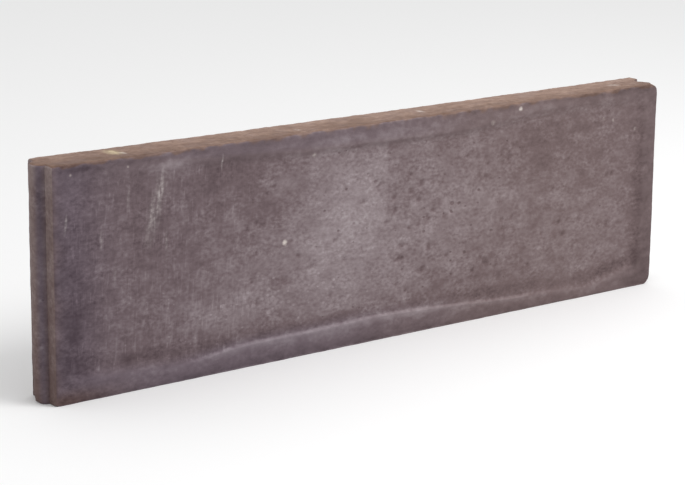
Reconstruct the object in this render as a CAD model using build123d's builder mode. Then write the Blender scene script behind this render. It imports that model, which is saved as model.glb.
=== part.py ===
from build123d import *
import os

# Precast concrete edging kerb, one cast piece, standing on its long narrow edge.
# X runs along the kerb from tongue to groove, Y through its thickness, Z up.
# The front face looks to -Y, and the origin is the middle of the bed face.

# Overall sizes in millimetres; the laying length runs from shoulder to shoulder
laying_length = 1000.0
height = 300.0
thickness = 60.0

# Half-round joint, full height: a tongue on one end and a groove in the other
tongue_radius = 12.5
joint_clearance = 1.0

# Worn edges: the long arrises above and below and the upright ones at the ends;
# the corners of the front lip beside the groove wear back with the groove's radius
top_arris_radius = 3.0
bed_arris_radius = 2.0
end_arris_radius = 2.0
lip_corner_share = 0.9

# Shallow panel in the front face, with a smooth border left standing around it
panel_depth = 2.0
panel_slope_run = 5.0
left_border = 12.0
right_border = 23.0
top_border = 25.0
lip_height = 32.0
panel_corner_radius = 22.0

# Wave of the lip below the panel: share of its run, then share of the lip's height
lip_wave_shares = [
    (0.00, 0.70),
    (0.08, 0.70),
    (0.15, 0.60),
    (0.25, 0.89),
    (0.38, 0.93),
    (0.51, 1.00),
    (0.60, 0.88),
    (0.72, 0.67),
    (0.85, 0.46),
    (0.91, 0.38),
    (0.95, 0.52),
    (1.00, 0.90),
]

# Wave of the band above the panel: share of its run, then share of the band's width
band_wave_shares = [
    (1.00, 0.45),
    (0.81, 0.50),
    (0.74, 0.75),
    (0.68, 0.96),
    (0.50, 1.00),
    (0.36, 0.90),
    (0.25, 0.72),
    (0.19, 0.60),
    (0.13, 0.38),
    (0.00, 0.30),
]

groove_radius = tongue_radius + joint_clearance
lip_corner_radius = groove_radius * lip_corner_share
half_length = laying_length / 2
half_thickness = thickness / 2


def draw_panel(inset):
    """Outline of the panel, drawn parallel to its rim and inset from it.

    A wavy lip below and a wavy band above, joined by upright sides with round corners.
    """
    corner = panel_corner_radius
    left = -half_length + left_border
    right = half_length - right_border
    run_start = left + corner
    run = right - corner - run_start
    lip = [(run_start + run * along, lip_height * rise + inset) for along, rise in lip_wave_shares]
    band = [
        (run_start + run * along, height - top_border * drop - inset)
        for along, drop in band_wave_shares
    ]
    low_left = lip[0][1] - inset + corner
    low_right = lip[-1][1] - inset + corner
    high_left = band[-1][1] + inset - corner
    high_right = band[0][1] + inset - corner
    with BuildLine() as rim:
        Spline(*lip, tangents=[(1, 0), (1, 0)])
        TangentArc(lip[-1], (right - inset, low_right), tangent=(1, 0))
        Line((right - inset, low_right), (right - inset, high_right))
        TangentArc((right - inset, high_right), band[0], tangent=(0, 1))
        Spline(*band, tangents=[(-1, 0), (-1, 0)])
        TangentArc(band[-1], (left + inset, high_left), tangent=(-1, 0))
        Line((left + inset, high_left), (left + inset, low_left))
        TangentArc((left + inset, low_left), lip[0], tangent=(0, -1))
    make_face(rim.edges())


with BuildPart() as kerb_stone:
    # Plan of the stone, raised to its full height
    with BuildSketch():
        Rectangle(laying_length, thickness)
        with Locations((-half_length, 0)):
            Circle(tongue_radius)
        with Locations((half_length, 0)):
            Circle(groove_radius, mode=Mode.SUBTRACT)
    extrude(amount=height)

    # Worn corners of the front lip beside the groove
    groove_end = kerb_stone.edges().filter_by(Axis.Y).group_by(Axis.X)[-1]
    fillet(groove_end.group_by(Axis.Y)[0], radius=lip_corner_radius)

    # Upright arrises at the shoulders
    outer_faces = kerb_stone.faces().filter_by(Axis.Y)
    uprights = outer_faces.edges().filter_by(Axis.Z)
    fillet(uprights, radius=end_arris_radius)

    # Long arrises above and below
    long_edges = kerb_stone.faces().filter_by(Axis.Y).edges().filter_by(Axis.X)
    fillet(long_edges.group_by(Axis.Z)[-1], radius=top_arris_radius)
    long_edges = kerb_stone.faces().filter_by(Axis.Y).edges().filter_by(Axis.X)
    fillet(long_edges.group_by(Axis.Z)[0], radius=bed_arris_radius)

    # Panel sunk into the front face with sloping sides
    with BuildSketch(Plane.XZ.offset(half_thickness)):
        draw_panel(0)
    with BuildSketch(Plane.XZ.offset(half_thickness - panel_depth)):
        draw_panel(panel_slope_run)
    loft(ruled=True, mode=Mode.SUBTRACT)

kerb_stone.part.label = "kerb_stone"

os.makedirs("parts", exist_ok=True)
export_step(kerb_stone.part, "parts/kerb_stone.step")
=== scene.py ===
import math
import bpy
import numpy as np
from mathutils import Matrix, Vector


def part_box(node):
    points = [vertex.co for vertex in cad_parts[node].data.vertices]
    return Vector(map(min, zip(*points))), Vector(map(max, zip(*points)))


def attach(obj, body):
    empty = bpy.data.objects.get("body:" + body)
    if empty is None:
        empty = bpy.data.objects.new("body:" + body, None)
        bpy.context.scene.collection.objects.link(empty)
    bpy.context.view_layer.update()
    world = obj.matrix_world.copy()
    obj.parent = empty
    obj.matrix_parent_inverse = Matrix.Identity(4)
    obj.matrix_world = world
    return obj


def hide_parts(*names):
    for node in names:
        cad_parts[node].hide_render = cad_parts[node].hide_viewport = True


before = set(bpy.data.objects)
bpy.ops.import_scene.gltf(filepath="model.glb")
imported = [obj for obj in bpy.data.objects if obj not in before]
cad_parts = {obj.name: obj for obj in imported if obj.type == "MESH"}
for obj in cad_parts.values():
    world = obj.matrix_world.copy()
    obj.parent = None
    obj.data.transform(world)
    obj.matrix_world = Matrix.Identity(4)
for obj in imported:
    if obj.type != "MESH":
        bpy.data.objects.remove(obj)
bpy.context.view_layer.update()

# Kerb stone
# A precast edging kerb, one piece of concrete pressed and vibrated in a steel mould, which gave it
# the half-round tongue and groove of its ends. The front was struck off wet and sank to a shallow
# tray between a wavy lip and a wavy band. Handling and earth have worn and stained it since.
mm = 0.001
low, high = (np.array(corner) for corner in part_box("kerb_stone"))
tongue_radius = 12.5 * mm
joint_clearance = 1.0 * mm
groove_radius = tongue_radius + joint_clearance
left_shoulder, right_shoulder = low[0] + tongue_radius, high[0]
front, back = low[1], high[1]
bed, top = low[2], high[2]

tray_left = left_shoulder + 12.0 * mm
tray_right = right_shoulder - 23.0 * mm
tray_corner = 22.0 * mm
tray_depth = 2.0 * mm
lip_height = 32.0 * mm
band_width = 25.0 * mm
run_start = tray_left + tray_corner
run_length = tray_right - tray_corner - run_start
lip_wave_shares = [
    (0.00, 0.70),
    (0.08, 0.70),
    (0.15, 0.60),
    (0.25, 0.89),
    (0.38, 0.93),
    (0.51, 1.00),
    (0.60, 0.88),
    (0.72, 0.67),
    (0.85, 0.46),
    (0.91, 0.38),
    (0.95, 0.52),
    (1.00, 0.90),
]
band_wave_shares = [
    (0.00, 0.30),
    (0.13, 0.38),
    (0.19, 0.60),
    (0.25, 0.72),
    (0.36, 0.90),
    (0.50, 1.00),
    (0.68, 0.96),
    (0.74, 0.75),
    (0.81, 0.50),
    (1.00, 0.45),
]


def ease(t):
    """Smooth step: 0 below 0, 1 above 1, and t * t * (3 - 2 t) between."""
    t = np.clip(t, 0.0, 1.0)
    return t * t * (3.0 - 2.0 * t)


def through(knots, at):
    """Smooth curve through knots of (place, value).

    Each span is a cubic whose slope at a knot is that of the neighbouring knots.
    """
    place, value = np.array(knots, float).T
    slope = np.gradient(value, place)
    at = np.clip(at, place[0], place[-1])
    k = np.clip(np.searchsorted(place, at) - 1, 0, len(place) - 2)
    span = place[k + 1] - place[k]
    t = (at - place[k]) / span
    rise = ease(t)
    lean = (t**3 - 2 * t**2 + t) * slope[k] + (t**3 - t**2) * slope[k + 1]
    return value[k] * (1 - rise) + value[k + 1] * rise + lean * span


def cloudy(a, b, pitch, seed):
    """Random numbers from 0 to 1 at the knots of a square net, blended by smooth steps."""
    knots = 512
    net = np.random.default_rng(seed).random((knots, knots))
    i, j = np.floor(a / pitch).astype(int), np.floor(b / pitch).astype(int)
    s, t = ease(a / pitch - i), ease(b / pitch - j)
    i, j, next_i, next_j = i % knots, j % knots, (i + 1) % knots, (j + 1) % knots
    lower = net[i, j] * (1 - s) + net[next_i, j] * s
    upper = net[i, next_j] * (1 - s) + net[next_i, next_j] * s
    return lower * (1 - t) + upper * t


def lip_line(x):
    """Height of the lip's edge along the kerb."""
    return bed + lip_height * through(lip_wave_shares, (x - run_start) / run_length)


def band_line(x):
    """Height of the band's lower edge along the kerb."""
    return top - band_width * through(band_wave_shares, (x - run_start) / run_length)


def inside_tray(x, z):
    """Distance in from the tray's rim, up to the corner radius; negative on the border.

    It is the least of the distances to the sides, lip and band, with rounded corners.
    """
    side = np.minimum(x - tray_left, tray_right - x)
    rise = np.minimum(z - lip_line(x), band_line(x) - z)
    return tray_corner - np.hypot(
        np.maximum(tray_corner - side, 0), np.maximum(tray_corner - rise, 0)
    )


def hump(distance, half_width):
    """Bell curve: 1 at no distance, falling off over the half-width."""
    return np.exp(-((distance / half_width) ** 2))


# Lines of the grid: they close up towards the ends, the arrises, the tongue and the lip
closing = np.concatenate([[0.0], np.cumsum(np.geomspace(0.8, 2.9, 16))]) * mm
plain_columns = 330
x_lines = np.concatenate([
    left_shoulder + closing[:-1],
    np.linspace(left_shoulder + closing[-1], right_shoulder - closing[-1], plain_columns),
    right_shoulder - closing[-2::-1],
])
half_thickness = (back - front) / 2
arris_zone = 4.0 * mm
half_lines = np.concatenate([
    tongue_radius * np.sin(np.linspace(0, math.pi / 2, 7)),
    np.linspace(tongue_radius, groove_radius, 3)[1:],
    np.linspace(groove_radius, half_thickness - arris_zone, 5)[1:],
    np.linspace(half_thickness - arris_zone, half_thickness, 5)[1:],
])
y_lines = np.concatenate([-half_lines[:0:-1], half_lines]) + (front + back) / 2

crest = 1.0 * mm
slope_run = 5.0 * mm
row_counts = [4, 7, 8, 56, 7, 4, 4]
edge = np.ones_like(x_lines)
row_edges = np.stack([
    bed * edge,
    (bed + arris_zone) * edge,
    lip_line(x_lines) - crest,
    lip_line(x_lines) + slope_run + crest,
    band_line(x_lines) - slope_run - crest,
    np.minimum(band_line(x_lines) + crest, top - arris_zone - crest),
    (top - arris_zone) * edge,
    top * edge,
])
row_share = np.concatenate([k + np.arange(n) / n for k, n in enumerate(row_counts)])
row_share = np.append(row_share, len(row_counts))
row_zone = np.minimum(row_share.astype(int), len(row_counts) - 1)
row_part = (row_share - row_zone)[:, None]
heights = row_edges[row_zone] * (1 - row_part) + row_edges[row_zone + 1] * row_part

# The section's loop goes up the front, over the top, down the back and along the bed
rows, lines = len(heights) - 1, len(y_lines) - 1
loop_line = np.concatenate([
    np.zeros(rows + 1, int),
    np.arange(1, lines),
    np.full(rows + 1, lines),
    np.arange(lines - 1, 0, -1),
])
loop_row = np.concatenate([
    np.arange(rows + 1),
    np.full(lines - 1, rows),
    np.arange(rows, -1, -1),
    np.zeros(lines - 1, int),
])
long_x = np.repeat(x_lines[:, None], len(loop_line), axis=1)
long_y = np.repeat(y_lines[loop_line][None], len(x_lines), axis=0)
long_z = heights[loop_row].T
end_y, end_left_z = np.broadcast_arrays(y_lines[1:-1][None], heights[1:-1, :1])
end_right_z = np.broadcast_to(heights[1:-1, -1:], end_y.shape)
end_left_x = np.full(end_y.shape, left_shoulder)
end_right_x = np.full(end_y.shape, right_shoulder)
x = np.concatenate([long_x.ravel(), end_left_x.ravel(), end_right_x.ravel()])
y = np.concatenate([long_y.ravel(), end_y.ravel(), end_y.ravel()])
z = np.concatenate([long_z.ravel(), end_left_z.ravel(), end_right_z.ravel()])
on_front = y == y_lines[0]
on_back = y == y_lines[-1]
on_top = (z == top) & ~on_front & ~on_back
on_left = np.arange(len(x)) >= long_x.size
on_right = on_left & (x == right_shoulder)
on_left &= ~on_right

# Worn arrises: points near an edge of the block go to a round whose radius wanders along it,
# with small chips along the front's top and a softer round on the upright edge beside the tongue.
# A point takes the radius of the place on the edge that it is nearest to
block_middle = np.array([(left_shoulder + right_shoulder) / 2, (front + back) / 2, (bed + top) / 2])
block_half = np.array([right_shoulder - left_shoulder, back - front, top - bed]) / 2
offset = np.stack([x, y, z], axis=1) - block_middle
largest_round = 6.0 * mm
at_face = np.abs(offset) > block_half - largest_round
edge_x, edge_y, edge_z = (block_middle + np.where(at_face, np.sign(offset) * block_half, offset)).T
upper = ease((edge_z - bed) / (top - bed))
upper_front = upper * (edge_y < 0)
arris_radius = 1.6 * mm + 1.2 * mm * upper
arris_radius += 1.6 * mm * (cloudy(edge_x + 3 * edge_y, edge_z + 2 * edge_y, 26 * mm, 11) - 0.4)
arris_radius += 0.9 * mm * (cloudy(edge_x - 2 * edge_y, edge_z + 3 * edge_y, 7 * mm, 12) - 0.5)
arris_radius += 3.2 * mm * upper_front * ease((cloudy(edge_x, edge_y, 13 * mm, 13) - 0.62) / 0.2)
arris_radius += 1.8 * mm * upper_front * (cloudy(edge_x, edge_y, 6 * mm, 17) - 0.4)
beside_tongue = (edge_y < 0) * hump(edge_x - left_shoulder, 12 * mm)
arris_radius += 1.6 * mm * beside_tongue * ease((edge_z - bed) / (40 * mm))
arris_radius = np.clip(arris_radius, 0.6 * mm, largest_round)[:, None]
core = np.clip(offset, arris_radius - block_half, block_half - arris_radius)
outward = offset - core
outward /= np.linalg.norm(outward, axis=1, keepdims=True)
x, y, z = (block_middle + core + arris_radius * outward).T

# Tongue and groove: half-rounds in plan, which fade into the straight grid behind the ends;
# the tongue's foot is chipped
joint_fade = 30.0 * mm
at_left = np.clip(1 - (x - left_shoulder) / joint_fade, 0, 1)
at_right = np.clip(1 - (right_shoulder - x) / joint_fade, 0, 1)
broken_foot = 1 - 0.4 * (1 - ease((z - bed) / (13 * mm))) * cloudy(y, z, 5 * mm, 14)
x = x - at_left * broken_foot * np.sqrt(np.maximum(tongue_radius**2 - y**2, 0))
x = x - at_right * np.sqrt(np.maximum(groove_radius**2 - y**2, 0))

# Corners of the front lip beside the groove, rounded in elevation and most on the front face
lip_corner_radius = 14.0 * mm
beyond = np.clip(x - (right_shoulder - lip_corner_radius), 0, lip_corner_radius)
corner_round = np.where(y < 0, lip_corner_radius - np.sqrt(lip_corner_radius**2 - beyond**2), 0)
corner_drop = corner_round * (0.15 + 0.85 * ease((-groove_radius - y) / (11 * mm)))
z = block_middle[2] + (z - block_middle[2]) * (1 - corner_drop / block_half[2])

# Front face: the tray sinks over a slope that is short at the lip and long elsewhere; the lip
# rolls back towards the bed; the tray is gritty and the border smooth. Real grit is finer than
# the grid can carry and wouldn't show, so it is drawn at 3.6 and 9 mm
above_lip = z - lip_line(x)
below_band = band_line(x) - z
rough_rim = 0.4 * mm + 2.0 * mm * ease((above_lip - 10 * mm) / (20 * mm))
rim_distance = inside_tray(x, z) + rough_rim * (cloudy(x, z, 21 * mm, 21) - 0.5)
band_shown = hump(x, 220 * mm)
near_lip = 1 - ease((above_lip - 12 * mm) / (30 * mm))
soft_ends = 3.0 * ease((-290 * mm - x) / (60 * mm))
soft_ends += 1.3 * near_lip * ease((x - 230 * mm) / (90 * mm))
soft_ends -= 0.7 * ease((x - 440 * mm) / (20 * mm))
slope = slope_run * (1.8 - near_lip + soft_ends)
slope += slope_run * 1.6 * (1 - band_shown) * ease((z - 230 * mm) / (40 * mm))
sunk = ease(rim_distance / slope)
lip_roll = 2.0 * mm * np.clip(-above_lip / lip_height, 0, 1) ** 1.6
grit = 0.55 * cloudy(x, z, 9 * mm, 22) + 0.45 * cloudy(x, z, 3.6 * mm, 23)
swell = cloudy(x, z, 70 * mm, 24)
front_relief = tray_depth * sunk + lip_roll + swell * 0.5 * mm + grit * mm * (0.12 + 0.5 * sunk)

# Blow holes: the larger ones where they are seen, and a scatter of smaller ones
seen_holes = [
    (-20, 228),
    (-12, 219),
    (-2, 215),
    (-8, 210),
    (20, 195),
    (21, 175),
    (77, 158),
    (87, 168),
    (66, 207),
    (33, 125),
    (80, 118),
    (113, 100),
    (70, 87),
    (30, 107),
    (-63, 120),
    (183, 80),
    (207, 57),
]


def hollowed(face, hole_x, hole_z, hole_radius):
    """Depth from 0 to 1 of round holes in the points of a face.

    A hole is a fifth longer than high, full at its middle and run out just past its radius.
    """
    depth = np.zeros(len(x))
    at = np.flatnonzero(face)
    apart = np.hypot((x[at, None] - hole_x) / 1.2, z[at, None] - hole_z) / hole_radius
    depth[at] = ease(1.2 - apart).max(axis=1)
    return depth


hole_draw = np.random.default_rng(31)
scattered = 60
seen_x, seen_z = np.array(seen_holes).T * mm
hole_x = np.append(seen_x, hole_draw.uniform(-230 * mm, 420 * mm, scattered))
hole_z = np.append(seen_z, hole_draw.uniform(60 * mm, 245 * mm, scattered))
hole_radius = np.append(
    hole_draw.uniform(3.6 * mm, 5.4 * mm, len(seen_holes)),
    hole_draw.uniform(2.4 * mm, 3.8 * mm, scattered),
)
holes = hollowed(on_front, hole_x, hole_z, hole_radius)
back_scattered = 90
back_holes = hollowed(
    on_back,
    hole_draw.uniform(left_shoulder, right_shoulder, back_scattered),
    hole_draw.uniform(bed, top, back_scattered),
    hole_draw.uniform(2.2 * mm, 4.6 * mm, back_scattered),
)
hole_depth = 1.4 * mm
# Holes are darkened by this many levels, as painted shade in them
hole_shade = 26
front_relief += hole_depth * holes

# Back, top and ends: struck or moulded faces with a slight unevenness
back_relief = 0.4 * mm * cloudy(x, z, 14 * mm, 41) + 0.7 * mm * cloudy(x, z, 90 * mm, 42)
back_relief += 0.35 * mm * cloudy(x, z, 4 * mm, 46) + hole_depth * back_holes
top_relief = 0.6 * mm * cloudy(x, y, 9 * mm, 43) + 0.4 * mm * cloudy(x, y, 4 * mm, 44)
end_relief = 0.5 * mm * cloudy(y, z, 12 * mm, 45)

# All relief goes inwards along the rounded block's normal, and faces share it on their arris by
# the squares of the normal's parts
out_x, out_y, out_z = outward.T
depth = out_y**2 * np.where(out_y < 0, front_relief, back_relief)
depth += out_x**2 * end_relief + np.maximum(out_z, 0) ** 2 * top_relief
x, y, z = x - depth * out_x, y - depth * out_y, z - depth * out_z
top_sag = 1.2 * mm * (1 - ((x - block_middle[0]) / block_half[0]) ** 2)
z = z - top_sag * ease((z - 200 * mm) / (100 * mm))

# Faces: the long grid, closed round the section, and a grid over each end
long_ids = np.arange(long_x.size).reshape(long_x.shape)
next_ids = np.roll(long_ids, -1, axis=1)
quads = [np.stack([long_ids[:-1], long_ids[1:], next_ids[1:], next_ids[:-1]], axis=-1)]
first_inner = long_x.size
for column, turned in ((0, 1), (-1, -1)):
    end_ids = np.zeros((rows + 1, lines + 1), int)
    end_ids[loop_row, loop_line] = long_ids[column]
    end_ids[1:-1, 1:-1] = first_inner + np.arange(end_y.size).reshape(end_y.shape)
    first_inner += end_y.size
    corners = [end_ids[:-1, :-1], end_ids[1:, :-1], end_ids[1:, 1:], end_ids[:-1, 1:]]
    quads.append(np.stack(corners[::turned], axis=-1))
quads = np.concatenate([q.reshape(-1, 4) for q in quads])

kerb_mesh = bpy.data.meshes.new("cast_kerb")
kerb_mesh.from_pydata(np.stack([x, y, z], axis=1), [], quads)
kerb_mesh.shade_smooth()
kerb_mesh.set_sharp_from_angle(angle=math.radians(50))
kerb = bpy.data.objects.new("cast_kerb", kerb_mesh)
bpy.context.collection.objects.link(kerb)

# Tone of the front: levels from 0 to 255 along the kerb, then soft patches on them
level_along = [
    (-500, 88),
    (-455, 90),
    (-420, 98),
    (-350, 99),
    (-280, 104),
    (-140, 110),
    (-70, 117),
    (0, 120),
    (210, 110),
    (375, 105),
    (430, 106),
    (465, 95),
    (500, 89),
]
# Pale blooms and dark stains, some of them painted shade, put in one by one from left to right: place
# along the kerb and height, half-length and half-width in millimetres, turn in degrees, change of
# level
pale_blooms = [
    (-465, 15, 8, 5, 0, 10),
    (-355, 138, 20, 30, 0, 6),
    (-329, 281, 30, 13, 0, 27),
    (-265, 80, 72, 28, 0, 15),
    (-230, 137, 40, 28, 0, 6),
    (-222, 100, 30, 17, 0, 8),
    (-150, 130, 70, 35, 40, 6),
    (-150, 235, 42, 15, 0, 6),
    (-140, 33, 55, 5, 0, 9),
    (-100, 92, 55, 26, 0, 6),
    (-65, 165, 88, 62, 52, 21),
    (-10, 238, 20, 16, 0, 8),
    (140, 157, 120, 28, 0, 10),
    (140, 215, 46, 15, 0, 6),
    (280, 287, 40, 7, 0, 9),
    (375, 100, 90, 55, 0, 6),
    (452, 67, 11, 11, 0, 11),
    (471, 25, 12, 9, 0, 9),
]
dark_stains_and_shade = [
    (-490, 60, 26, 34, 0, -7),
    (-484, 110, 85, 30, 90, -17),
    (-385, 270, 36, 22, 0, -7),
    (-378, 37, 42, 8, 0, -7),
    (-375, 205, 55, 28, 90, -6),
    (-325, 27, 20, 8, 0, -9),
    (-325, 50, 22, 8, 0, -9),
    (-280, 262, 25, 14, 0, -8),
    (-250, 245, 55, 30, 0, -10),
    (-245, 276, 60, 14, 0, -9),
    (-190, 198, 28, 12, -15, -8),
    (-173, 107, 17, 10, 0, -13),
    (-38, 268, 22, 32, 0, -10),
    (60, 283, 36, 13, 0, -7),
    (120, 60, 105, 20, 0, -7),
    (120, 256, 24, 12, 0, -8),
    (185, 275, 45, 10, 0, -8),
    (262, 242, 70, 26, 0, -10),
    (278, 264, 30, 10, 0, -8),
    (285, 208, 20, 36, 0, -7),
    (375, 230, 45, 40, 0, -6),
    # Entries at the lip's height from 418 to 484 along the kerb are painted shade in the tray's lower
    # right corner
    (418, 38, 26, 9, 0, -14),
    (424, 31, 20, 7, 0, -11),
    (430, 290, 45, 8, 0, -8),
    (448, 41, 12, 8, 0, -11),
    (466, 150, 85, 8, 90, -9),
    (468, 46, 8, 18, 0, -17),
    (484, 42, 14, 22, 0, -7),
    (486, 120, 14, 75, 0, -9),
]
x_mm, z_mm = x / mm, z / mm
front_level = through(level_along, x_mm)
for patch_x, patch_z, half_length, half_width, turn, change in pale_blooms + dark_stains_and_shade:
    cosine, sine = math.cos(math.radians(turn)), math.sin(math.radians(turn))
    along = cosine * (x_mm - patch_x) + sine * (z_mm - patch_z)
    across = cosine * (z_mm - patch_z) - sine * (x_mm - patch_x)
    front_level += change * hump(along, half_length) * hump(across, half_width)

# The lip's crest has a painted highlight and the lip darkens down to the bed; painted shade with some
# dirt lies at the tray's foot
crest_highlight_gains = [
    (-500, 3),
    (-330, 4),
    (-240, 14),
    (0, 13),
    (120, 8),
    (280, 3),
    (500, 0),
]
crest_highlight_widths = [(-500, 14), (-330, 12), (-270, 9), (-40, 9), (0, 7), (240, 8), (330, 10), (500, 10)]
lip_darkenings = [
    (-500, 12), (-340, 12), (-270, 21), (-80, 24), (0, 36), (60, 32), (250, 27), (400, 20), (500, 10),
]
foot_shade_and_dirt_gains = [
    (-500, 4),
    (-360, 13),
    (-280, 16),
    (120, 19),
    (240, 20),
    (290, 13),
    (360, 11),
    (410, 19),
    (445, 10),
    (500, 3),
]
foot_rises = [
    (-500, 21), (-340, 21), (-270, 15), (0, 10.5), (120, 13), (360, 14), (420, 17), (450, 12),
    (500, 10),
]
crest_highlight_width = through(crest_highlight_widths, x_mm) * mm
foot_rise = through(foot_rises, x_mm) * mm
foot_cloud = 0.6 + 0.8 * cloudy(x, z, 16 * mm, 54)
past_crest = above_lip - 1 * mm
crest_highlight_fade = np.where(past_crest > 0, 4 * mm, crest_highlight_width)
# Painted highlight along the lip's crest
front_level += through(crest_highlight_gains, x_mm) * hump(past_crest, crest_highlight_fade)
front_level -= through(lip_darkenings, x_mm) * (1 - np.exp(np.minimum(above_lip, 0) / (12 * mm)))
# Painted shade, with some dirt, in the tray's foot just above the lip
front_level -= through(foot_shade_and_dirt_gains, x_mm) * hump(above_lip - foot_rise, 10 * mm) * foot_cloud

# A seam in the upper half, as between two pourings, the duller band with painted shade along its
# lower edge, painted shade in a line under the top arris and dark crumbs on it, painted shade in the
# holes and along the bed at the left, and a dark ring near the tongue
seam = ease((x - 5 * mm) / (5 * mm)) * np.exp(-np.maximum(x - 10 * mm, 0) / (75 * mm))
seam_rise = ease((z - 130 * mm) / (40 * mm))
front_level -= 12 * seam * seam_rise * ease((below_band + 5 * mm) / (10 * mm))
band_dullings = [(-500, 2), (-300, 6), (-150, 8), (0, 10), (120, 11), (300, 8), (420, 11), (500, 4)]
front_level -= through(band_dullings, x_mm) * ease((3 * mm - below_band) / (6 * mm))
# Painted shade under the band's lower edge, where it steps down into the tray
front_level -= 9 * band_shown * hump(below_band - 3 * mm, 3 * mm)
# Painted shade in a line just under the top arris
arris_shade_heights = [
    (-500, 291), (-340, 291), (-270, 293), (-150, 292), (100, 292), (200, 294), (500, 296),
]
arris_shade_line = through(arris_shade_heights, x_mm) * mm
arris_shade_depths = [
    (-500, 12), (-430, 18), (-380, 16), (-280, 8), (-130, 12), (0, 14), (80, 15), (160, 8), (500, 8),
]
front_level -= through(arris_shade_depths, x_mm) * hump(z - arris_shade_line, 4 * mm)
front_level -= 12 * hump(z - 297 * mm, 3 * mm) * ease((cloudy(x, z, 6 * mm, 16) - 0.5) / 0.2)
# Painted shade along the bed, left of the middle
front_level -= 13 * hump(z - bed, 7 * mm) * ease((150 * mm - x) / (60 * mm))
front_level -= hole_shade * holes
ring_x, ring_z, ring_radius = -480 * mm, 197 * mm, 4 * mm
front_level -= 9 * hump(np.hypot(x - ring_x, z - ring_z) - ring_radius, 1.6 * mm)

# Tone of the other faces: cloudy, the top darker at the front, painted shade on the tongue's front
# side
cloud = 14 * (cloudy(x + y, z, 60 * mm, 51) - 0.5) + 12 * (cloudy(x + y, z - y, 17 * mm, 52) - 0.5)
top_cloud = 10 * (cloudy(0.5 * x, y, 17 * mm, 58) - 0.5)
top_cloud += 12 * (cloudy(0.4 * x, y, 6.5 * mm, 59) - 0.5)
top_levels = [
    (-500, 97), (-420, 103), (-350, 102), (-280, 107), (-140, 111), (0, 110), (300, 111), (500, 105),
]
top_level = through(top_levels, x_mm) + top_cloud + 15 * (y / half_thickness)
tongue = ease((tongue_radius + 1 * mm - np.abs(y)) / (2 * mm))
shaded_side = tongue * ease((-3 * mm - y) / (8 * mm))
muddy_foot = hump(z - bed, 34 * mm)
height_share = (z - block_middle[2]) / block_half[2]
end_level = 105 + 0.8 * cloud + 3 * tongue - 16 * shaded_side - 6 * muddy_foot
end_level += height_share * (16 - 21 * shaded_side)
# A painted highlight on the edge of the shoulder in front of the tongue, in its upper part
end_level += 9 * hump(y + groove_radius, 1.6 * mm) * ease((z - 120 * mm) / (80 * mm))
in_groove = ease((groove_radius + 1 * mm - np.abs(y)) / (2 * mm))
# Painted shade in the groove's hollow
groove_level = 109 + cloud - 9 * in_groove - 12 * muddy_foot
bloom = ease((cloudy(x, z, 110 * mm, 61) - 0.5) / 0.35) * (0.5 + cloudy(x, z, 22 * mm, 62))
foot_dirt = hump(z - bed, 30 * mm) * (0.4 + 0.9 * cloudy(x, z, 35 * mm, 63))
# The back: cloudy, with pale blooms, darker at its foot, lighter along its top edge and with painted
# shade in its holes
back_level = 108 + 0.7 * cloud + 12 * bloom - 16 * foot_dirt
back_level += 8 * hump(z - top, 4 * mm) - hole_shade * back_holes

# The front's upright edge beside the tongue has the colour of the end, in an uneven strip
strip = 4.5 * mm * (0.4 + cloudy(y, z, 18 * mm, 15))
edge_strip = np.exp(-np.maximum(x - left_shoulder, 0) / strip)
front_level += (end_level - front_level) * 0.8 * edge_strip
level = np.where(on_front, front_level, 110 + cloud)
level = np.where(on_top, top_level, level)
level = np.where(on_left, end_level, level)
level = np.where(on_right, groove_level, level)
level = np.where(on_back, back_level, level)
dark_level, light_level = 60.0, 180.0
tone = (level - dark_level) / (light_level - dark_level)

# Brown earth on the top, spilling over its front edge, and a little on the ends and the corner by
# the tongue; cement that turns from cool at the left to warm at the right and is cooler on the
# rims; brush marks at the left, pale flecks at the lower left
corner_mud = 0.5 * hump(x + 495 * mm, 70 * mm) * hump(z - 4 * mm, 12 * mm)
end_earth = 0.22 * (1 - shaded_side) + 0.1 * muddy_foot
worn_corner = ease(corner_round / (5 * mm))
top_earth = (0.82 + 0.32 * cloudy(x, y, 15 * mm, 56)) * (1 - 0.8 * worn_corner)
earth = np.where(on_top, np.clip(top_earth, 0, 1), 0.0)
earth = np.where(on_left | on_right, end_earth, earth)
earth = np.where(on_back, 0.25 * cloudy(x, z, 80 * mm, 53) + 0.35 * foot_dirt, earth)
spill_depth = 2.5 * mm + 6 * mm * cloudy(x, z, 13 * mm, 18) ** 2
spill_depth += 2.5 * mm * cloudy(x, z, 5 * mm, 19)
top_spill = 0.75 * ease((z - top + spill_depth) / (3 * mm)) * (1 - worn_corner)
earth = np.where(on_front, np.maximum(np.maximum(corner_mud, top_spill), 0.4 * edge_strip), earth)
warmths = [
    (-500, 0.0),
    (-470, 0.05),
    (-425, 0.38),
    (-300, 0.57),
    (0, 0.76),
    (220, 0.96),
    (330, 1.0),
    (500, 0.9),
]
cool_lips = [(-500, 0.0), (-420, 0.35), (-300, 0.5), (-50, 0.38), (30, 0.18), (90, 0.15), (150, 0.0)]
cool_bands = [(-460, 0.0), (-380, 0.1), (0, 0.25), (80, 0.15), (160, 0.0)]
warmth = through(warmths, x_mm)
warmth -= through(cool_lips, x_mm) * ease((18 * mm - above_lip) / (18 * mm))
warmth -= through(cool_bands, x_mm) * ease((2 * mm - below_band) / (6 * mm))
warmth = np.where(on_left, 1 - shaded_side, np.clip(warmth, 0, 1))
warmth = np.where(on_back, 0.5 + 0.4 * cloudy(x, z, 90 * mm, 64), warmth)
smoother_right = 0.35 * ease((x - 60 * mm) / (150 * mm))
rim = np.where(on_top, 0.7, np.where(on_left, 0.6, 0.2))
rougher_left = 0.6 * ease((-400 * mm - x) / (70 * mm))
rim = np.where(on_front, np.maximum((1 - sunk) * (1 - rougher_left), smoother_right), rim)
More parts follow.
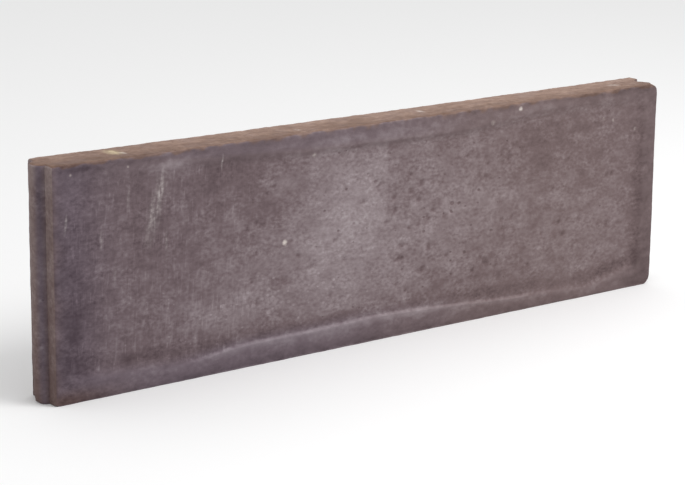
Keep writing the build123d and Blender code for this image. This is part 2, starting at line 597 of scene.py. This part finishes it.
pore_run = ease((x + 300 * mm) / (260 * mm)) * (1 - 0.45 * ease((x - 150 * mm) / (120 * mm)))
pores = np.where(on_front, sunk * pore_run * (0.35 + cloudy(x, z, 45 * mm, 55)), 0.7)
brush_run = ease((-120 * mm - x) / (150 * mm))
brushed = np.where(on_front, sunk * brush_run * ease(0.25 + 1.5 * cloudy(x, z, 55 * mm, 57)), 0)
fleck_run = hump(x + 190 * mm, 150 * mm) * hump(z - 80 * mm, 40 * mm)
flecks = np.where(on_front, 0.4 - 0.6 * smoother_right + 1.1 * fleck_run, 0.3)

# What the material reads at each point of the mesh
coats = {
    "tone": tone,
    "earth": earth,
    "warmth": warmth,
    "rim": rim,
    "pores": pores,
    "brushed": brushed,
    "flecks": flecks,
}
for name, values in coats.items():
    layer = kerb_mesh.attributes.new(name, "FLOAT", "POINT")
    layer.data.foreach_set("value", values.astype(np.float32))


def linear(hex_colour):
    """sRGB hex to linear red, green, blue and full alpha."""
    parts = [int(hex_colour[k:k + 2], 16) / 255 for k in (1, 3, 5)]
    return [c / 12.92 if c <= 0.04045 else ((c + 0.055) / 1.055) ** 2.4 for c in parts] + [1.0]


def add(tree, kind, settings=(), links=()):
    """Adds a node to the tree, sets its properties and then its inputs.

    An input takes a value, or the output socket of another node, which is linked to it.
    """
    made = tree.nodes.new(kind)
    for name, value in dict(settings).items():
        setattr(made, name, value)
    for name, value in dict(links).items():
        if isinstance(value, bpy.types.NodeSocket):
            tree.links.new(value, made.inputs[name])
        else:
            made.inputs[name].default_value = value
    return made


# Vibrated concrete, moulded: a matt cement skin, purple grey, in which the sand shows as a fine
# speckle, with open pores, pale flecks, brush marks and scuffs; smoother on the rims
concrete = bpy.data.materials.new("vibrated_concrete")
concrete.use_nodes = True
tree = concrete.node_tree
tree.nodes.clear()
place = add(tree, "ShaderNodeTexCoord").outputs["Object"]
coat = {}
for name in coats:
    coat[name] = add(tree, "ShaderNodeAttribute", {"attribute_name": name}).outputs["Fac"]

# Speckle of the sand, blotches and a mottling, all a little drawn out along the kerb; on the
# brushed part fine scratches and softer streaks, nearly upright. Sand grains of 0.5 to 2 mm and
# bristle marks of 1 mm are too fine to show, so they are drawn at 4 and 3.4 mm
along_kerb = add(tree, "ShaderNodeMapping", {}, {
    "Vector": place, "Scale": (0.68, 1.0, 1.0),
}).outputs[0]
sand = add(tree, "ShaderNodeTexNoise", {}, {
    "Vector": along_kerb, "Scale": 1 / (4 * mm), "Detail": 2.0, "Roughness": 0.5,
})
drawn_out = add(tree, "ShaderNodeMapping", {}, {
    "Vector": place, "Scale": (0.58, 1.0, 1.0),
}).outputs[0]
blotches = add(tree, "ShaderNodeTexNoise", {}, {
    "Vector": drawn_out, "Scale": 1 / (11 * mm), "Detail": 1.0, "Roughness": 0.6,
})
mottle = add(tree, "ShaderNodeTexNoise", {}, {
    "Vector": drawn_out, "Scale": 1 / (24 * mm), "Detail": 2.0, "Roughness": 0.5,
})
brush_lean = math.radians(4)
upright = add(tree, "ShaderNodeMapping", {"vector_type": "TEXTURE"}, {
    "Vector": place, "Rotation": (0, brush_lean, 0), "Scale": (1.0, 1.0, 6.5),
}).outputs[0]
brush = add(tree, "ShaderNodeTexNoise", {}, {
    "Vector": upright, "Scale": 1 / (3.4 * mm), "Detail": 2.0, "Roughness": 0.6,
})
streaks = add(tree, "ShaderNodeTexNoise", {}, {
    "Vector": upright, "Scale": 1 / (6 * mm), "Detail": 1.0, "Roughness": 0.5,
})
scratches = add(tree, "ShaderNodeMapRange", {}, {
    "Value": brush.outputs["Fac"], "From Min": 0.56, "From Max": 0.78, "To Min": 0.48, "To Max": 1.0,
})
patchy = add(tree, "ShaderNodeMapRange", {}, {
    "Value": mottle.outputs["Fac"], "From Min": 0.35, "From Max": 0.65, "To Min": 0.55, "To Max": 1.3,
})
sand_on_rim = add(tree, "ShaderNodeMapRange", {}, {
    "Value": coat["rim"], "To Min": 0.56, "To Max": 0.26,
})
sand_left = add(tree, "ShaderNodeMapRange", {}, {
    "Value": coat["brushed"], "To Min": 1.0, "To Max": 0.85,
})
sand_shown = add(tree, "ShaderNodeMath", {"operation": "MULTIPLY"}, {
    0: patchy.outputs[0], 1: sand_on_rim.outputs[0],
})
sand_strength = add(tree, "ShaderNodeMath", {"operation": "MULTIPLY"}, {
    0: sand_shown.outputs[0], 1: sand_left.outputs[0],
})
scratch_strength = add(tree, "ShaderNodeMath", {"operation": "MULTIPLY"}, {
    0: coat["brushed"], 1: 0.36,
})
streak_strength = add(tree, "ShaderNodeMath", {"operation": "MULTIPLY"}, {
    0: coat["brushed"], 1: 0.2,
})
tone_now = coat["tone"]
for pattern, strength in (
    (sand.outputs["Fac"], sand_strength.outputs[0]),
    (blotches.outputs["Fac"], 0.34),
    (mottle.outputs["Fac"], 0.18),
    (scratches.outputs[0], scratch_strength.outputs[0]),
    (streaks.outputs["Fac"], streak_strength.outputs[0]),
):
    swing = add(tree, "ShaderNodeMath", {"operation": "SUBTRACT"}, {0: pattern, 1: 0.5})
    tone_now = add(tree, "ShaderNodeMath", {"operation": "MULTIPLY_ADD"}, {
        0: swing.outputs[0], 1: strength, 2: tone_now,
    }).outputs[0]

# Open pores and pale flecks: spots of random size in the cells of two nets. Most real ones are
# 1 to 2 mm wide, too fine to show, so they are drawn coarser, in cells of 9 and 6 mm
spots = []
spot_sharpness = 9.0
for pitch, shift, least, growth, density in (
    (9 * mm, 0.0, 0.5, 0.62, coat["pores"]),
    (6 * mm, 0.3, 0.5, 0.8, coat["flecks"]),
):
    moved = add(tree, "ShaderNodeMapping", {}, {
        "Vector": place, "Location": (shift, shift, shift), "Scale": (0.75, 1.0, 1.0),
    })
    cells = add(tree, "ShaderNodeTexVoronoi", {}, {"Vector": moved.outputs[0], "Scale": 1 / pitch})
    draw = add(tree, "ShaderNodeSeparateColor", {}, {"Color": cells.outputs["Color"]})
    over = add(tree, "ShaderNodeMath", {"operation": "SUBTRACT"}, {0: draw.outputs["Red"], 1: least})
    grown = add(tree, "ShaderNodeMath", {"operation": "MULTIPLY"}, {0: over.outputs[0], 1: growth})
    size = add(tree, "ShaderNodeMath", {"operation": "MULTIPLY"}, {0: grown.outputs[0], 1: density})
    within = add(tree, "ShaderNodeMath", {"operation": "SUBTRACT"}, {
        0: size.outputs[0], 1: cells.outputs["Distance"],
    })
    spots.append(add(tree, "ShaderNodeMath", {"operation": "MULTIPLY", "use_clamp": True}, {
        0: within.outputs[0], 1: spot_sharpness,
    }).outputs[0])
pore, fleck = spots
# The pores are darkened as painted shade in them; the flecks are lightened
for spot, change in ((pore, -0.22), (fleck, 0.14)):
    tone_now = add(tree, "ShaderNodeMath", {"operation": "MULTIPLY_ADD"}, {
        0: spot, 1: change, 2: tone_now,
    }).outputs[0]

# Cement from dark to light, cool and warm, and the brown of dried earth, all mixed by the coats
shades = []
for colours in (
    ("#42343D", "#6A5C65", "#91868D", "#B8AFB5"),
    ("#483636", "#705E5E", "#958788", "#BBB0B1"),
    ("#513628", "#795E50", "#A18678", "#C9AEA0"),
):
    chart = add(tree, "ShaderNodeValToRGB", {}, {"Fac": tone_now})
    stops = chart.color_ramp.elements
    for share in np.linspace(0, 1, len(colours))[1:-1]:
        stops.new(share)
    for stop, colour in zip(stops, colours):
        stop.color = linear(colour)
    shades.append(chart.outputs["Color"])
cool_cement, warm_cement, brown_earth = shades
cement = add(tree, "ShaderNodeMix", {"data_type": "RGBA"}, {
    "Factor": coat["warmth"], "A": cool_cement, "B": warm_cement,
})
soiled = add(tree, "ShaderNodeMix", {"data_type": "RGBA"}, {
    "Factor": coat["earth"], "A": cement.outputs["Result"], "B": brown_earth,
})

# Marks on the skin, each with its place and half-sizes in millimetres, its lean in degrees and its
# strength: scuffs broken up by the brush marks, then specks of lime and a spot of dry mortar
scuffs = [
    ((-354, -30, 230), (13, 10, 62), 14, 0.8),
    ((-347, -30, 246), (5, 10, 30), 13, 0.5),
    ((-360, -30, 222), (5, 10, 36), 15, 0.4),
    ((-482, -30, 226), (2.6, 10, 18), 10, 1.0),
    ((-256, -30, 276), (2, 10, 13), 0, 1.1),
    ((-431, -30, 206), (3, 10, 22), 4, 0.7),
    ((-393, -30, 244), (3, 10, 22), 5, 0.6),
    ((-339, -30, 180), (3, 10, 26), 2, 0.6),
    ((-413, -30, 160), (3, 10, 20), 3, 0.4),
]
lime_specks = [
    ((-159, -30, 157), (5, 10, 5), 0, 2.4),
    ((237, -30, 290), (4.5, 10, 4), 0, 2.0),
    ((396, -30, 258), (3.6, 10, 3.2), 0, 0.6),
    ((415, -30, 254), (3.6, 10, 3.2), 0, 0.6),
    ((459, -30, 237), (3.6, 10, 3.2), 0, 0.5),
    ((-474, -30, 286), (2.4, 10, 2.2), 0, 0.6),
    ((-394, -30, 287), (2.4, 10, 2.2), 0, 0.6),
    ((188, -30, 276), (5, 10, 5), 0, 0.6),
    ((-113, -30, 267), (5, 10, 4), 0, 0.6),
    ((-388, -7, 299), (6, 9, 10), 0, 0.8),
    ((84, 1, 299), (6, 10, 10), 0, 0.8),
    ((436, -4, 299), (12, 10, 10), 0, 0.6),
    ((-127, -8, 299), (6, 9, 10), 0, 0.45),
]
mortar_spots = [((-396, 3, 299), (13, 20, 12), 0, 1.2)]
streaky = add(tree, "ShaderNodeMapRange", {}, {
    "Value": brush.outputs["Fac"], "From Min": 0.35, "From Max": 0.6, "To Min": 0.1, "To Max": 0.75,
})
grainy = add(tree, "ShaderNodeMapRange", {}, {
    "Value": sand.outputs["Fac"], "From Min": 0.4, "From Max": 0.62, "To Min": 0.4, "To Max": 1.0,
})
broken_up = add(tree, "ShaderNodeMath", {"operation": "MULTIPLY"}, {
    0: streaky.outputs[0], 1: grainy.outputs[0],
})
skin = soiled.outputs["Result"]
for marks, thinned, colour in (
    (scuffs, broken_up, "#C3BAB8"),
    (lime_specks, grainy, "#CFC4BE"),
    (mortar_spots, grainy, "#C4B392"),
):
    covering = 0.0
    for mark_place, half_sizes, lean, strength in marks:
        spot = add(tree, "ShaderNodeMapping", {"vector_type": "TEXTURE"}, {
            "Vector": place,
            "Location": np.array(mark_place) * mm,
            "Rotation": (0, math.radians(lean), 0),
            "Scale": np.array(half_sizes) * mm,
        })
        ball = add(tree, "ShaderNodeTexGradient", {"gradient_type": "SPHERICAL"}, {
            "Vector": spot.outputs[0],
        })
        covering = add(tree, "ShaderNodeMath", {"operation": "MULTIPLY_ADD"}, {
            0: ball.outputs["Fac"], 1: strength, 2: covering,
        }).outputs[0]
    share = add(tree, "ShaderNodeMath", {"operation": "MULTIPLY", "use_clamp": True}, {
        0: covering, 1: thinned.outputs[0],
    })
    skin = add(tree, "ShaderNodeMix", {"data_type": "RGBA"}, {
        "Factor": share.outputs[0], "A": skin, "B": linear(colour),
    }).outputs["Result"]

# The sand stands out and the pores sink in, matt in the tray and a little smoother on the rims
pore_sinking = -1.2
hollow = add(tree, "ShaderNodeMath", {"operation": "MULTIPLY_ADD"}, {
    0: pore, 1: pore_sinking, 2: sand.outputs["Fac"],
})
relief = add(tree, "ShaderNodeBump", {}, {
    "Strength": 0.45, "Distance": 0.8 * mm, "Height": hollow.outputs[0],
})
matt = add(tree, "ShaderNodeMapRange", {}, {"Value": coat["rim"], "To Min": 0.92, "To Max": 0.74})
surface = add(tree, "ShaderNodeBsdfPrincipled", {}, {
    "Base Color": skin,
    "Roughness": matt.outputs[0],
    "IOR": 1.5,
    "Normal": relief.outputs["Normal"],
})
add(tree, "ShaderNodeOutputMaterial", {}, {"Surface": surface.outputs["BSDF"]})

kerb_mesh.materials.append(concrete)
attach(kerb, "root")
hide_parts("kerb_stone")

# Studio floor
# A plain pale sweep under the kerb, wide enough that its edge is never in view.
floor_half = 12.0
floor_mesh = bpy.data.meshes.new("studio_floor")
floor_mesh.from_pydata(
    [
        (-floor_half, -floor_half, 0),
        (floor_half, -floor_half, 0),
        (floor_half, floor_half, 0),
        (-floor_half, floor_half, 0),
    ],
    [],
    [(0, 1, 2, 3)],
)
floor = bpy.data.objects.new("studio_floor", floor_mesh)
bpy.context.collection.objects.link(floor)


def looked_at(tree):
    """1 for what the eye meets, also in a mirror or through glass, and 0 for scattered light.

    It is the greatest of the three kinds of ray.
    """
    ray = add(tree, "ShaderNodeLightPath")
    shown = ray.outputs["Is Camera Ray"]
    for ray_kind in ("Is Glossy Ray", "Is Transmission Ray"):
        shown = add(tree, "ShaderNodeMath", {"operation": "MAXIMUM"}, {
            0: shown, 1: ray.outputs[ray_kind],
        }).outputs[0]
    return shown


# Matt white paper: nearly white to the eye, though it throws less light back on the stone
floor_paint = bpy.data.materials.new("matt_white_paper")
floor_paint.use_nodes = True
floor_paint.node_tree.nodes.clear()
paper = floor_paint.node_tree
paper_colour = add(paper, "ShaderNodeMix", {"data_type": "RGBA"}, {
    "Factor": looked_at(paper), "A": linear("#A8A8A8"), "B": linear("#F4F4F4"),
})
paper_skin = add(paper, "ShaderNodeBsdfDiffuse", {}, {"Color": paper_colour.outputs["Result"]})
add(paper, "ShaderNodeOutputMaterial", {}, {"Surface": paper_skin.outputs["BSDF"]})
floor_mesh.materials.append(floor_paint)

# Light
# Soft overcast light from all round, white to the camera, and one large soft lamp above.
world = bpy.data.worlds.new("soft_studio")
bpy.context.scene.world = world
world.use_nodes = True
sky = world.node_tree
sky.nodes.clear()
sky_strength = add(sky, "ShaderNodeMapRange", {}, {
    "Value": looked_at(sky), "To Min": 0.82, "To Max": 1.0,
})
sky_light = add(sky, "ShaderNodeBackground", {}, {
    "Color": linear("#FFFFFF"), "Strength": sky_strength.outputs[0],
})
add(sky, "ShaderNodeOutputWorld", {}, {"Surface": sky_light.outputs["Background"]})

lamp_data = bpy.data.lights.new("soft_lamp", "AREA")
lamp_data.shape = "DISK"
lamp_data.size = 1.6
lamp_data.energy = 55.0
lamp = bpy.data.objects.new("soft_lamp", lamp_data)
lamp.location = (1.2, -1.9, 2.4)
lamp_aim = Vector((0, 0, 0.15)) - lamp.location
lamp.rotation_euler = lamp_aim.to_track_quat("-Z", "Y").to_euler()
bpy.context.collection.objects.link(lamp)

# Camera
# Placed as the photograph's was, worked out from the kerb's straight edges.
image_width = 685
focal_pixels = 2219
camera_place = Vector((-1764, -2284, 871)) * mm
view_azimuth, view_elevation, view_roll = (math.radians(a) for a in (36.96, 14.44, 0.64))
camera_data = bpy.data.cameras.new("camera")
camera_data.sensor_fit = "HORIZONTAL"
camera_data.lens = camera_data.sensor_width * focal_pixels / image_width
camera = bpy.data.objects.new("camera", camera_data)
camera.matrix_world = (
    Matrix.Translation(camera_place)
    @ Matrix.Rotation(-view_azimuth, 4, "Z")
    @ Matrix.Rotation(math.pi / 2 - view_elevation, 4, "X")
    @ Matrix.Rotation(view_roll, 4, "Z")
)
bpy.context.collection.objects.link(camera)
bpy.context.scene.camera = camera
bpy.context.scene.view_settings.view_transform = "Standard"
